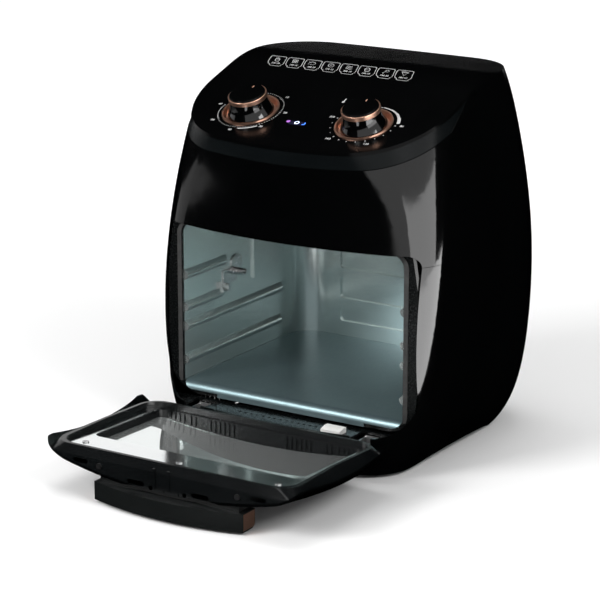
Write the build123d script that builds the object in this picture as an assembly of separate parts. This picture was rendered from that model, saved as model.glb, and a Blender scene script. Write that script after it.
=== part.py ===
from build123d import *
import math
import os

# An upright countertop fry oven: a barrel shaped moulded housing, a slanted
# control deck with two knobs, a steel cavity and a bowed door that drops open.
# Millimetres, +Z up, the door faces -Y and stands open at ninety degrees.

os.makedirs("parts", exist_ok=True)

# Overall body
body_height = 384.0
shell_wall = 2.5
front_bow_radius = 520.0
side_bow = 2.5
rear_bow = 4.0
# Plan of the housing at each height: half width, front reach, rear reach,
# front corner radius, rear corner radius
body_stations = [
    (4.0, 129.0, 154.0, 134.0, 48.0, 70.0),
    (38.0, 146.0, 161.5, 147.0, 48.0, 75.0),
    (96.0, 157.0, 162.0, 150.0, 48.0, 75.0),
    (173.0, 161.5, 157.0, 149.0, 48.0, 75.0),
    (228.0, 160.0, 150.5, 146.0, 51.0, 75.0),
    (280.0, 155.0, 148.0, 139.0, 66.0, 72.0),
    (330.0, 148.5, 147.0, 127.0, 88.0, 66.0),
    (400.0, 139.5, 142.0, 92.0, 92.0, 58.0),
]
seam_height = 218.0
seam_gap = 0.4

# Control deck
deck_slope = 20.0
deck_front_height = 325.5
deck_front_reach = 147.0
deck_crown_radius = 150.0
deck_thickness = 3.0
deck_edge_round = 1.6
band_drop = 17.5
band_wall = 3.0
band_inset = 0.9
band_full_to = -60.0
band_ends_at = -18.0

# Knobs and dials
knob_offset = 66.3
knob_reach = 91.4
dial_radius = 29.8
dial_lip = 1.5
dial_depth = 4.6
dial_floor_radius = 25.2
knob_base_radius = 23.6
knob_neck_radius = 18.4
collar_radius = 19.8
collar_low = 14.2
collar_high = 18.6
cap_high = 20.0
knob_lift = 1.4
shaft_radius = 3.0
shaft_clearance = 0.05
mechanism_drop = 9.0

# Door opening in the housing, and the door
recess_half = 149.5
recess_low = 46.0
recess_high = 230.0
recess_corner = 13.0
recess_foot_corner = 39.0
pin_y = -144.5
pin_z = 34.5
pin_radius = 3.0
pin_clearance = 0.06
door_half = 148.6
door_low = 56.0
door_high = 227.6
door_corner = 13.0
door_proud = 6.5
door_skin_wall = 2.6
door_rim_half = 135.5
door_rim_low = 62.5
door_rim_plane = -123.0
door_bevel = 13.5
door_face_drop = 7.3
door_rim_wall = 3.2
door_rim_corner = 22.0
door_lean = 1.85
lean_height = 204.0
door_wall = 2.6
arm_end = 63.0
tray_half = 120.0
tray_low = 67.6
tray_high = 184.0
tray_corner = 9.0
tray_wall = 2.2
glass_wall = 2.5
glass_apex = -146.5
glass_bow = 800.0
glass_ledge = 4.0
window_half = 112.0
window_low = 78.0
window_high = 186.0
plate_wall = 1.2
plate_screw_offset = 112.0
plate_screw_height = 206.0
plate_lip = 0.6

# Handle
handle_half = 86.0
handle_front = -176.0
handle_back = -157.5
handle_low = 207.0
handle_end_high = 228.0
handle_mid_high = 241.0
handle_wall = 3.2
end_cap_wall = 1.6
end_cap_inset = 1.2

# Cavity
cavity_half = 131.0
cavity_front = -119.5
floor_front = -124.0
cavity_rear = 104.0
cavity_floor_height = 59.0
cavity_roof = 246.0
cavity_corner = 31.0
sheet = 1.2
opening_low = 50.0
opening_corner = 12.0
opening_high = 227.0
bezel_plane = -121.8
bezel_wall = 2.2
gasket_width = 5.0
gasket_height = 0.8
rib_height = 13.5
rib_proud = 5.0
# Height of each pressed rack ledge and how far back it runs
ledges = [(170.0, -43.0), (136.0, -50.0), (115.5, 64.0), (80.0, 62.0)]
panel_half = 80.0
panel_rows = [(135.0, 168.0), (101.5, 125.5), (75.5, 91.0)]
panel_depth = 3.0

# Air path above the cavity
fan_y = -8.0
fan_radius = 68.0
fan_blades = 12
chamber_radius = 84.0
chamber_height = 26.0
roof_hole = 78.0
motor_radius = 30.0
motor_height = 34.0
motor_shaft_radius = 3.0
cooling_radius = 44.0
coil_rod = 3.2
coil_first = 26.0
coil_step = 9.0
coil_turns = 6
coil_height = 236.0
guard_height = 229.0

# Spit drive
spit_y = -24.0
spit_z = 158.0
socket_radius = 6.0

arch_radius = 640.0
arch_middle = -12.0
arch_rise = 4.6
foot_radius = 11.0
foot_height = 7.0
hinge_x = 100.0
button_front = -150.5
button_back = -137.5
spring_y = -141.0
gland_x = 70.0
gland_z = 74.0
gland_wall = 149.0
cover_screw_x = 97.0
# Height of each pair of cover screws, and the depth of the cover's face there
cover_screw_rows = [(66.0, 145.7), (187.0, 146.5), (308.0, 130.1)]


def deck_top(y):
    """Height of the deck's surface over the centre line at the depth y."""
    slope = math.radians(deck_slope)
    top_line = deck_front_height + math.tan(slope) * (y + deck_front_reach)
    crown = deck_crown_radius * (1 - math.cos(slope))
    y_turn = (body_height - crown - deck_front_height) / math.tan(slope) - deck_front_reach
    y_flat = y_turn + deck_crown_radius * math.sin(slope)
    if y <= y_turn:
        return top_line
    if y >= y_flat:
        return body_height
    return body_height - deck_crown_radius + math.sqrt(deck_crown_radius**2 - (y_flat - y) ** 2)


def plan_face(station, inset=0.0):
    """One level outline of the housing: four bowed sides with round corners."""
    z, half, front, rear, r_front, r_rear = station
    half = half - inset
    front = front - inset
    rear = rear - inset
    corner_x = half - side_bow
    sag = front_bow_radius - math.sqrt(front_bow_radius**2 - corner_x**2)
    y_front = -front + sag
    y_rear = rear - rear_bow
    y_mid = (y_front + y_rear) / 2
    sides = (
        ThreePointArc((-corner_x, y_front), (0, -front), (corner_x, y_front))
        + ThreePointArc((corner_x, y_front), (half, y_mid), (corner_x, y_rear))
        + ThreePointArc((corner_x, y_rear), (0, rear), (-corner_x, y_rear))
        + ThreePointArc((-corner_x, y_rear), (-half, y_mid), (-corner_x, y_front))
    )
    face = make_face(sides.edges())
    face = fillet(face.vertices().group_by(Axis.Y)[0], r_front - inset)
    face = fillet(face.vertices().group_by(Axis.Y)[-1], r_rear - inset)
    return Pos(0, 0, z) * face


def body_form(inset=0.0):
    """The barrel form of the housing, closed at both ends."""
    return loft([plan_face(station, inset) for station in body_stations])


def box_between(low, high):
    """A box from its lowest to its highest corner."""
    size = [high[i] - low[i] for i in range(3)]
    middle = [(high[i] + low[i]) / 2 for i in range(3)]
    return Pos(*middle) * Box(*size)


def deck_region(drop_front, drop_rear, top=500.0):
    """Everything above the deck's surface lowered by drop_front at the front
    and by drop_rear behind the visor band."""
    steps = [-200.0, band_full_to, band_ends_at]
    points = [(y, deck_top(y) - drop_front) for y in steps[:2]]
    points.append((band_ends_at, deck_top(band_ends_at) - drop_rear))
    slope = math.radians(deck_slope)
    crown = deck_crown_radius * (1 - math.cos(slope))
    y_turn = (body_height - crown - deck_front_height) / math.tan(slope) - deck_front_reach
    y_flat = y_turn + deck_crown_radius * math.sin(slope)
    y_half = (y_turn + y_flat) / 2
    lines = Polyline(*points, (y_turn, deck_top(y_turn) - drop_rear))
    lines += ThreePointArc(
        (y_turn, deck_top(y_turn) - drop_rear),
        (y_half, deck_top(y_half) - drop_rear),
        (y_flat, body_height - drop_rear),
    )
    lines += Polyline((y_flat, body_height - drop_rear), (220, body_height - drop_rear), (220, top), (-200, top), points[0])
    side = Plane.YZ * make_face(lines.edges())
    return extrude(side, amount=220, both=True)


def rounded_slab(half, low, high, corner, y_from, y_to):
    """An upright slab with round corners, from one depth to another."""
    face = Pos(0, (low + high) / 2) * RectangleRounded(2 * half, high - low, corner)
    return extrude(Plane.XZ.offset(-y_from) * face, amount=y_from - y_to)


def lying_tube(radius, length, x, y, z):
    """A round bar along X whose middle is at x, y, z."""
    return Pos(x, y, z) * Rot(0, 90, 0) * Cylinder(radius, length)


def across(radius, x, y, z, inward, outward):
    """A round bar along Y, from inward of the depth y to outward of it."""
    return Pos(x, y + (outward - inward) / 2, z) * Rot(90, 0, 0) * Cylinder(radius, inward + outward)


def mirrored(shape):
    """The shape and its twin on the other side of the centre plane."""
    return [shape, mirror(shape, about=Plane.YZ)]


def group(shapes):
    """Separate solids kept side by side in one piece."""
    solids = []
    for shape in shapes:
        solids += shape.solids()
    return Compound(solids)


nodes = {}
outer = body_form()
inner = body_form(shell_wall)
lug_form = body_form(shell_wall + 0.2)
shell = outer - inner


# Housing shells
def door_recess(inset):
    """The opening for the door: close corners at the top, wide ones below."""
    half = recess_half - inset
    face = Pos(0, (recess_low + recess_high) / 2) * Rectangle(2 * half, recess_high - recess_low - 2 * inset)
    low = face.vertices().group_by(Axis.Y)[0]
    face = fillet(low, recess_foot_corner - inset)
    face = fillet(face.vertices().group_by(Axis.Y)[-1], recess_corner - inset)
    return extrude(Plane.XZ.offset(60) * face, amount=200)


def make_housing():
    recess = door_recess(0.0)
    under_band = deck_region(band_drop, deck_thickness + 0.2)
    rear_window = box_between((-104, 100, 52), (104, 200, 322))
    rear_window = fillet(rear_window.edges().filter_by(Axis.Y), 12)
    below = box_between((-250, -250, -10), (250, 250, seam_height))
    above = box_between((-250, -250, seam_height + seam_gap), (250, 250, 500))
    whole = shell - recess
    upper = (whole & above) - under_band - rear_window
    lower = (whole & below) - rear_window
    # Slanted air slots low on both flanks, near the front and near the rear
    slots = []
    for start, count, height in ((-84.0, 5, 20), (88.0, 4, 26)):
        for k in range(count):
            slot = Pos(0, start + 9.0 * k, height) * Rot(-38, 0, 0) * Box(400, 3.2, 27)
            slots.append(slot)
    for slot in slots:
        lower = lower - slot
    # The lower edge rises in a shallow arch between the feet
    arch = lying_tube(arch_radius, 400, 0, arch_middle, body_stations[0][0] + arch_rise - arch_radius)
    lower = lower - arch
    # Lugs behind the edge of the rear cover, which take its screws
    for z, y in cover_screw_rows:
        for side in (-1, 1):
            root = sorted((side * 104.1, side * 114))
            tip = sorted((side * 91, side * 104.2))
            lug = inner & box_between((root[0], y - 16, z - 6), (root[1], y + 9, z + 6))
            lug = lug + (lug_form & box_between((tip[0], y - 16, z - 6), (tip[1], y + 9, z + 6)))
            lug = lug - across(1.6, side * cover_screw_x, y, z, 13, 20)
            if z < seam_height:
                lower = lower + lug
            else:
                upper = upper + lug
    # Notches for the two hinge arms in the front lip
    for side in (-1, 1):
        notch = box_between((side * hinge_x - 11, -190, 25), (side * hinge_x + 11, -120, 60))
        lower = lower - notch
    return upper, lower, rear_window


upper_housing, lower_housing, rear_window = make_housing()
nodes["upper_housing"] = upper_housing
nodes["lower_housing"] = lower_housing


def make_rear_cover():
    gap = 0.35
    window = box_between((-104 + gap, 100, 52 + gap), (104 - gap, 200, 322 - gap))
    window = fillet(window.edges().filter_by(Axis.Y), 12)
    cover = shell & window
    # Louvred air outlet behind the fan and a smaller inlet below
    for row in range(9):
        cover = cover - (Pos(0, 130, 262 + 5.8 * row) * Box(110, 60, 2.8))
    for row in range(5):
        cover = cover - (Pos(0, 150, 78 + 5.8 * row) * Box(70, 60, 2.8))
    cover = cover - (Pos(gland_x, 140, gland_z) * Rot(90, 0, 0) * Cylinder(7.6, 80))
    for z, y in cover_screw_rows:
        for x in (-cover_screw_x, cover_screw_x):
            cover = cover - across(2.0, x, y, z, 40, 40)
            cover = cover - across(3.8, x, y, z, 0.9, 40)
    return cover


nodes["rear_cover"] = make_rear_cover()


def make_base():
    plate = extrude(plan_face(body_stations[0], shell_wall + 0.6), amount=2.0)
    plate = Pos(0, 0, foot_height - body_stations[0][0]) * plate
    for k in range(7):
        slot = Pos(0, 40 + 9 * k, 8) * Box(90, 4, 20)
        plate = plate - slot
    feet = []
    for x, y in ((108, -106), (-108, -106), (114, 72), (-114, 72)):
        foot = Pos(x, y, foot_height / 2) * Cylinder(foot_radius, foot_height)
        foot = chamfer(foot.edges().group_by(Axis.Z)[0], 1.2)
        feet.append(foot)
    return plate, group(feet)


base_plate, feet = make_base()
nodes["base_plate"] = base_plate
nodes["feet"] = feet


# Visor band and glossy control deck
def make_deck():
    above_deck = deck_region(0.0, 0.0)
    above_under = deck_region(deck_thickness + 0.1, deck_thickness + 0.1)
    above_band = deck_region(band_drop - 0.2, deck_thickness + 0.15)
    band = body_form(band_inset) - body_form(band_inset + band_wall)
    band = (band & above_band) - above_under
    band = band & box_between((-250, -250, 250), (250, band_ends_at - 4, 500))
    deck = (outer & deck_region(deck_thickness, deck_thickness)) - above_deck
    return band, deck


visor_band, deck = make_deck()
nodes["visor_band"] = visor_band

slope_rad = math.radians(deck_slope)
deck_plane = Plane(
    origin=(0, -knob_reach, deck_top(-knob_reach)),
    x_dir=(1, 0, 0),
    z_dir=(0, -math.sin(slope_rad), math.cos(slope_rad)),
)


def on_deck(x, along=0.0, lift=0.0):
    """A place on the slanted deck, measured from the line of the knobs."""
    return deck_plane.location * Pos(x, along, lift)


def make_dial(x):
    profile = Polyline(
        (dial_radius, 0.05),
        (dial_radius - 0.3, dial_lip),
        (dial_radius - 1.8, dial_lip),
        (dial_floor_radius + 0.6, -dial_depth + 1.2),
        (5.0, -dial_depth + 1.2),
        (5.0, -dial_depth),
        (dial_floor_radius + 1.2, -dial_depth),
        (dial_radius - 1.9, 0.05),
        (dial_radius, 0.05),
    )
    cup = revolve(Plane.XZ * make_face(profile.edges()), Axis.Z)
    return on_deck(x) * cup


def make_knob(x):
    base = -dial_depth + 1.2 + knob_lift
    flare = Spline(
        (knob_base_radius, base + 1.6),
        (knob_neck_radius + 1.4, collar_low * 0.5),
        (knob_neck_radius, collar_low),
        tangents=((-0.6, 1), (-0.1, 1)),
    )
    outline = Polyline((knob_neck_radius, collar_low), (shaft_radius + shaft_clearance, collar_low))
    outline += Polyline((shaft_radius + shaft_clearance, collar_low), (shaft_radius + shaft_clearance, base))
    outline += Polyline((shaft_radius + shaft_clearance, base), (knob_base_radius, base))
    outline += Polyline((knob_base_radius, base), (knob_base_radius, base + 1.6))
    outline += flare
    skirt = revolve(Plane.XZ * make_face(outline.edges()), Axis.Z)
    ring_height = collar_high - collar_low
    collar = Pos(0, 0, collar_low + ring_height / 2) * (
        Cylinder(collar_radius, ring_height) - Cylinder(collar_radius - 1.4, ring_height + 2)
    )
    collar = fillet(collar.edges().group_by(Axis.Z)[-1], 0.5)
    cap_radius = collar_radius - 1.45
    cap_height = cap_high - collar_low
    cap = Pos(0, 0, collar_low + cap_height / 2) * Cylinder(cap_radius, cap_height)
    cap = fillet(cap.edges().group_by(Axis.Z)[-1], 0.7)
    cap = cap - (Pos(0, cap_radius * 0.68, cap_high) * Box(1.4, 6.5, 0.8))
    low = -mechanism_drop - 12
    high = collar_low
    shaft = Pos(0, 0, (low + high) / 2) * Cylinder(shaft_radius, high - low)
    return [on_deck(x) * piece for piece in (skirt, collar, cap, shaft)]


def make_mechanism(x, width, depth, length):
    """A geared timer or a capillary thermostat, hung below the deck by its
    threaded neck, which ends in a nut under the dial cup."""
    case = Pos(0, 0, -mechanism_drop - depth / 2) * Box(width, length, depth)
    case = fillet(case.edges().filter_by(Axis.Z), 3)
    plate = Pos(0, 0, -mechanism_drop + 0.6) * Box(width + 14, length * 0.5, 1.2)
    neck_low = -mechanism_drop
    neck_high = -dial_depth
    neck = Pos(0, 0, (neck_low + neck_high) / 2) * Cylinder(5.4, neck_high - neck_low)
    body = case + plate + neck
    body = body - Pos(0, 0, -mechanism_drop) * Cylinder(shaft_radius + shaft_clearance, 30)
    for k in range(3):
        tab = Pos(-width / 4 + k * width / 4, 0, -mechanism_drop - depth - 3) * Box(6, 0.8, 6)
        body = body + tab
    return on_deck(x) * body


dial_hole = Pos(0, 0, 0) * Cylinder(dial_radius - 1.7, 20)
window_x = -4.0
window_drop = -13.0
indicator_hole = Pos(0, 0, 0) * extrude(SlotOverall(20, 7), amount=10, both=True)
for x in (-knob_offset, knob_offset):
    deck = deck - on_deck(x) * dial_hole
deck = deck - on_deck(window_x, window_drop) * indicator_hole
nodes["control_panel"] = deck
for name, x in (("timer", -knob_offset), ("temperature", knob_offset)):
    nodes[name + "_dial_ring"] = make_dial(x)
    skirt, collar, cap, shaft = make_knob(x)
    nodes[name + "_knob_skirt"] = skirt
    nodes[name + "_knob_collar"] = collar
    nodes[name + "_knob_cap"] = cap
    nodes[name + "_shaft"] = shaft
nodes["timer_mechanism"] = make_mechanism(-knob_offset, 40, 26, 40)
nodes["thermostat"] = make_mechanism(knob_offset, 34, 20, 30)

lens = extrude(SlotOverall(19.4, 6.4), amount=2.8)
nodes["indicator_window"] = on_deck(window_x, window_drop, -2.7) * lens


def make_indicator_board():
    board = Pos(0, 0, -5.6) * Box(34, 16, 1.6)
    for k in (-1, 0, 1):
        lamp = Pos(6 * k, 0, -3.9) * Cylinder(1.4, 2.0)
        board = board + lamp
    for k in (-1, 1):
        post = Pos(14 * k, 0, -3.9) * Cylinder(2.0, 1.9)
        board = board + post
    return on_deck(window_x, window_drop) * board


nodes["indicator_board"] = make_indicator_board()


# Steel cavity
def cavity_outline(grow, front):
    rear = cavity_rear + grow
    half = cavity_half + grow
    face = Pos(0, (front + rear) / 2) * Rectangle(2 * half, rear - front)
    face = fillet(face.vertices().group_by(Axis.Y)[-1], cavity_corner + grow)
    return face


def side_rib(y_end, z, side):
    """A rounded ledge pressed into the side wall, which carries a rack. It
    is open at the front and fades into the wall at its rear end."""
    half = rib_height / 2
    root = side * (cavity_half + 0.6)
    crest = side * (cavity_half - rib_proud)
    outline = Spline(
        (root, z - half), (side * (cavity_half - rib_proud * 0.55), z - half * 0.5),
        (crest, z + half * 0.25), (root, z + half),
        tangents=((0, 1), (side, 0.9)),
    )
    outline += Line((root, z + half), (root, z - half))
    bar = extrude(Plane.XZ.offset(-y_end) * make_face(outline.edges()), amount=y_end - cavity_front)
    tail = Pos(root, y_end, z) * Rot(0, 0, side * 38) * Pos(-side * 20, 20, 0) * Box(40, 40, 40)
    return bar - tail


def make_liner():
    height = cavity_roof - cavity_floor_height + 6
    z0 = cavity_floor_height - 6
    outside = extrude(Pos(0, 0, z0) * cavity_outline(sheet, cavity_front), amount=height + sheet)
    inside = extrude(Pos(0, 0, z0 - 1) * cavity_outline(0, cavity_front - 5), amount=height + 1)
    liner = outside - inside
    for z, y_end in ledges:
        for side in (-1, 1):
            liner = liner + side_rib(y_end, z, side)
    # Stiffening panels pressed outward in the rear wall
    for z_low, z_high in panel_rows:
        back = cavity_rear + sheet + panel_depth
        pan = rounded_slab(panel_half + sheet, z_low - sheet, z_high + sheet, 5, back, cavity_rear + 0.2)
        liner = liner + pan - rounded_slab(panel_half, z_low, z_high, 4, back - sheet, cavity_rear - 5)
    # Tapered pressing beside the spit bearing
    wedge = Polyline((6, 205), (21, 205), (9.5, 139), (7.5, 139), (6, 205))
    wedge = extrude(Plane.YZ.offset(-cavity_half - 0.6) * make_face(wedge.edges()), amount=3.4)
    liner = liner + wedge
    roof_opening = Pos(0, fan_y, cavity_roof) * Cylinder(roof_hole, 10)
    liner = liner - roof_opening
    drive_hole = lying_tube(socket_radius + 0.5, 30, cavity_half, spit_y, spit_z)
    liner = liner - drive_hole
    return liner


nodes["cavity_liner"] = make_liner()


def make_floor():
    plate = extrude(
        Pos(0, 0, cavity_floor_height - sheet) * cavity_outline(-0.3, floor_front + 8), amount=sheet
    )
    # The front edge rolls down over the sill and ends in a lip
    lip_half = 88.0
    r = 8.0
    z_top = cavity_floor_height
    y0 = floor_front + 8
    section = Polyline((y0, z_top), (y0, z_top - sheet))
    section += ThreePointArc(
        (y0, z_top - sheet),
        (y0 - (r - sheet) * math.sin(math.pi / 4), z_top - r + (r - sheet) * math.cos(math.pi / 4)),
        (y0 - (r - sheet), z_top - r),
    )
    section += Polyline((y0 - (r - sheet), z_top - r), (y0 - (r - sheet), z_top - 12), (y0 - r, z_top - 12), (y0 - r, z_top - r))
    section += ThreePointArc(
        (y0 - r, z_top - r),
        (y0 - r * math.sin(math.pi / 4), z_top - r + r * math.cos(math.pi / 4)),
        (y0, z_top),
    )
    roll = extrude(Plane.YZ * make_face(section.edges()), amount=cavity_half - 0.3, both=True)
    mouth = rounded_slab(cavity_half - 0.3, opening_low + 0.8, 90, opening_corner, y0 + 0.1, -200)
    lip = roll & box_between((-lip_half, -200, 40), (lip_half, 0, opening_low + 4))
    return plate + (roll & mouth) + lip


nodes["cavity_floor"] = make_floor()


# Black frame round the opening, its ledge and the silicone seal
def make_bezel():
    frame = door_recess(0.5) & box_between((-200, bezel_plane, 0), (200, bezel_plane + bezel_wall, 400))
    hole = rounded_slab(cavity_half + 0.2, opening_low, opening_high, opening_corner, -60, -200)
    frame = (frame - hole) & body_form(shell_wall + 0.35)
    # Ledge below the opening, sloping gently to the front lip of the housing
    ledge = box_between((-recess_half + 1, -166, 41), (recess_half - 1, bezel_plane + bezel_wall, 43.4))
    ledge = ledge & body_form(shell_wall + 0.35)
    frame = frame + ledge
    for side in (-1, 1):
        notch = box_between((side * hinge_x - 12, -190, 20), (side * hinge_x + 12, bezel_plane - 3, 60))
        frame = frame - notch
    for k in range(15):
        vent = Pos(-49 + 7 * k, -140, 42) * Cylinder(1.7, 10)
        frame = frame - vent
    button_hole = box_between((53.5, button_front - 0.5, 30), (76.5, button_back + 0.5, 60))
    frame = frame - button_hole
    return frame


nodes["door_bezel"] = make_bezel()


def make_gasket():
    ring = rounded_slab(
        cavity_half + 0.8 + gasket_width, opening_low + 1.2, opening_high + 1.0 + gasket_width * 0.3, 14,
        bezel_plane - 0.02, bezel_plane - gasket_height,
    )
    hole = rounded_slab(cavity_half + 0.8, opening_low - 40, opening_high + 0.4, 10, -60, -200)
    return (ring - hole) & box_between((-200, -200, opening_low + 8), (200, 0, 400))


nodes["door_gasket"] = make_gasket()


# Hinge pins, their brackets and the steel arms of the door
def make_hinges():
    brackets, pins, arms = [], [], []
    cheek = 1.8
    gap = 12.2
    for side in (-1, 1):
        x = side * hinge_x
        bracket = box_between((x - gap / 2 - cheek, -128, 10), (x + gap / 2 + cheek, -126, 40))
        for hand in (-1, 1):
            cx = x + hand * (gap + cheek) / 2
            plate = box_between((cx - cheek / 2, pin_y, pin_z - 4.5), (cx + cheek / 2, -126, pin_z + 4.5))
            bracket = bracket + plate + lying_tube(4.5, cheek, cx, pin_y, pin_z)
        foot_tab = box_between((x - gap / 2 - cheek, -128, 9.05), (x + gap / 2 + cheek, -112, 10.6))
        bracket = bracket + foot_tab - lying_tube(pin_radius, 40, x, pin_y, pin_z)
        brackets.append(bracket)
        pin = lying_tube(pin_radius, gap + 2 * cheek + 0.2, x, pin_y, pin_z)
        for hand in (-1, 1):
            head_x = x + hand * (gap / 2 + cheek + 0.5)
            pin = pin + lying_tube(4.0, 0.8, head_x, pin_y, pin_z)
        pins.append(pin)
        # In the closed position the arm rises from the pin into the door
        arm = box_between((x - 1.5, pin_y - 4.5, pin_z), (x + 1.5, pin_y + 4.5, arm_end))
        sleeve = lying_tube(4.5, gap - 0.4, x, pin_y, pin_z)
        foot = box_between((x - 7, pin_y - 4.5, arm_end - 1.8), (x + 7, pin_y + 4.5, arm_end))
        arm = arm + sleeve + foot - lying_tube(pin_radius + pin_clearance, 30, x, pin_y, pin_z)
        arms.append(arm)
    return group(brackets), group(pins), arms


hinge_brackets, hinge_pins, hinge_arm_list = make_hinges()
nodes["hinge_brackets"] = hinge_brackets
nodes["hinge_pins"] = hinge_pins


# Door, drawn shut and then turned down about its hinge pins
def door_front(reach):
    """The housing's own bowed form moved forward, which the door follows."""
    return Pos(0, -reach, 0) * outer


def bowed_sheet(apex, wall):
    """An upright sheet bent to the bow of the glass, apex at its front face."""
    tube = Cylinder(glass_bow + wall, 400) - Cylinder(glass_bow, 420)
    return Pos(0, apex + glass_bow + wall, 150) * tube & box_between((-150, -200, 0), (150, -100, 300))


def leaned(shape):
    """The shape tipped about a level line near the top of the shut door."""
    hub = Pos(0, door_rim_plane, lean_height)
    return hub * Rot(-door_lean, 0, 0) * hub.inverse() * shape


def make_door():
    slab = rounded_slab(door_half, door_low, door_high, door_corner, door_rim_plane - 2, -220)
    skin = (slab & door_front(door_proud)) - door_front(door_proud - door_skin_wall)
    window = rounded_slab(window_half, window_low, window_high, 16, -100, -220)
    pane_zone = rounded_slab(window_half - 0.3, window_low + 0.3, window_high - 0.3, 15.7, -100, -220)
    outer_glass = skin & pane_zone
    skin = skin - window

    # Moulded inner frame: bevelled edge, raised rim, tray for the glass
    rim_face = Pos(0, (door_rim_low + door_high - 2) / 2) * RectangleRounded(
        2 * door_rim_half, door_high - 2 - door_rim_low, door_rim_corner
    )
    wide_face = Pos(0, (door_low + door_high) / 2) * RectangleRounded(
        2 * door_half - 0.6, door_high - door_low - 0.6, door_corner
    )
    rim_at = Plane.XZ.offset(-door_rim_plane)
    wide_at = Plane.XZ.offset(-door_rim_plane + door_bevel)
    block = loft([rim_at * rim_face, wide_at * wide_face], ruled=True)
    block = block + extrude(wide_at * wide_face, amount=60)
    face_y = door_rim_plane - door_face_drop
    plate_face = Pos(0, (door_rim_low + door_high - 2) / 2) * RectangleRounded(
        2 * (door_rim_half - door_rim_wall), door_high - 2 - door_rim_low - 2 * door_rim_wall,
        door_rim_corner - door_rim_wall,
    )
    recess = extrude(Plane.XZ.offset(-door_rim_plane - 5) * plate_face, amount=door_face_drop + 5)
    tray = rounded_slab(tray_half, tray_low, tray_high, tray_corner, -100, -220)
    surround = rounded_slab(
        tray_half + tray_wall, tray_low - tray_wall, tray_high + tray_wall, tray_corner + tray_wall, -100, -220
    )
    hollow = rounded_slab(
        door_half - door_wall - 3.5, door_low + door_wall + 2.0, door_high - door_wall, 9,
        face_y - door_wall, -220,
    )
    frame = block - recess - tray - (hollow - surround)
    ledge = (tray - rounded_slab(
        tray_half - glass_ledge, tray_low + glass_ledge, tray_high - glass_ledge, tray_corner, -90, -230
    )) & bowed_sheet(glass_apex - 2 * glass_wall, glass_wall)
    frame = frame + ledge
    inner_glass = bowed_sheet(glass_apex - glass_wall + 0.05, glass_wall - 0.05) & rounded_slab(
        tray_half - 0.3, tray_low + 0.3, tray_high - 0.3, tray_corner - 0.3, -100, -200
    )
    # Comb of short ribs on the tray's wall next to the hinge
    for start, count in ((31.5, 6), (78, 2), (92, 4)):
        for k in range(count):
            for side in (-1, 1):
                x = side * (start + 5.6 * k)
                foot = glass_apex + (abs(x) + 1.1) ** 2 / (2 * glass_bow) + 1.0
                rib = box_between((x - 1.1, foot, tray_low - 0.5), (x + 1.1, face_y - 1.5, tray_low + 1.3))
                frame = frame + rib
    # The face of the frame leans with the front of the oven
    frame = leaned(frame) & door_front(door_proud - door_skin_wall - 0.1) & slab
    inner_glass = leaned(inner_glass)
    # Slots, screw holes and stiffeners in the free edge
    for x, y, width in ((103, -140, 18), (37.5, -150, 20)):
        for side in (-1, 1):
            slot = Pos(side * x, y, door_high) * extrude(SlotOverall(width, 5), amount=12, both=True)
            frame = frame - slot
    for side in (-1, 1):
        frame = frame - Pos(side * 19.5, -152, door_high) * Cylinder(2.4, 12)
        frame = frame - Pos(side * 80, -141.5, door_high) * Cylinder(1.9, 12)
    # Two hooked ribs beside the middle, where the closing catch sits
    for x in (-16.5, 0.5):
        leg = box_between((x, -154, door_high - 1), (x + 2.6, -131.5, door_high + 1.1))
        foot = box_between((x, -154, door_high - 1), (x + 12.5, -151.4, door_high + 1.1))
        frame = frame + ((leg + foot) & door_front(door_proud - door_skin_wall - 0.1))
    # Seats for the steel hinge arms
    for side in (-1, 1):
        x = side * hinge_x
        seat = box_between((x - 1.7, pin_y - 4.7, door_low - 5), (x + 1.7, pin_y + 4.7, arm_end))
        foot_seat = box_between((x - 7.2, pin_y - 4.7, arm_end - 2), (x + 7.2, pin_y + 4.7, arm_end + 0.3))
        frame = frame - seat - foot_seat
    sheet_face = Pos(0, (door_rim_low + door_high - 2) / 2) * RectangleRounded(
        2 * (door_rim_half - door_rim_wall) - 1, door_high - 3 - door_rim_low - 2 * door_rim_wall,
        door_rim_corner - door_rim_wall - 0.5,
    )
    sheet_face = sheet_face - Pos(0, (tray_low - 20 + tray_high - plate_lip) / 2) * RectangleRounded(
        2 * (tray_half + plate_lip), tray_high - tray_low + 20, tray_corner
    )
    trim = extrude(Plane.XZ.offset(-face_y - plate_wall - 0.05) * sheet_face, amount=plate_wall)
    screws = []
    for x in (-plate_screw_offset, 0, plate_screw_offset):
        trim = trim - across(2.0, x, face_y, plate_screw_height, 20, 20)
        frame = frame - leaned(across(1.7, x, face_y, plate_screw_height, 6, 4))
        head = across(3.4, x, face_y + plate_wall + 0.1, plate_screw_height, 0, 0.9)
        shank = across(1.6, x, face_y, plate_screw_height, 2.4, 1.5)
        cross = Pos(x, face_y + plate_wall + 0.9, plate_screw_height)
        screws.append(head + shank - cross * Box(4.0, 0.7, 0.8) - cross * Box(0.8, 0.7, 4.0))
    trim = leaned(trim)
    trim_screws = leaned(group(screws))
    return skin, outer_glass, frame, inner_glass, trim, trim_screws


skin, outer_glass, inner_frame, inner_glass, trim_plate, trim_screws = make_door()


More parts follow.
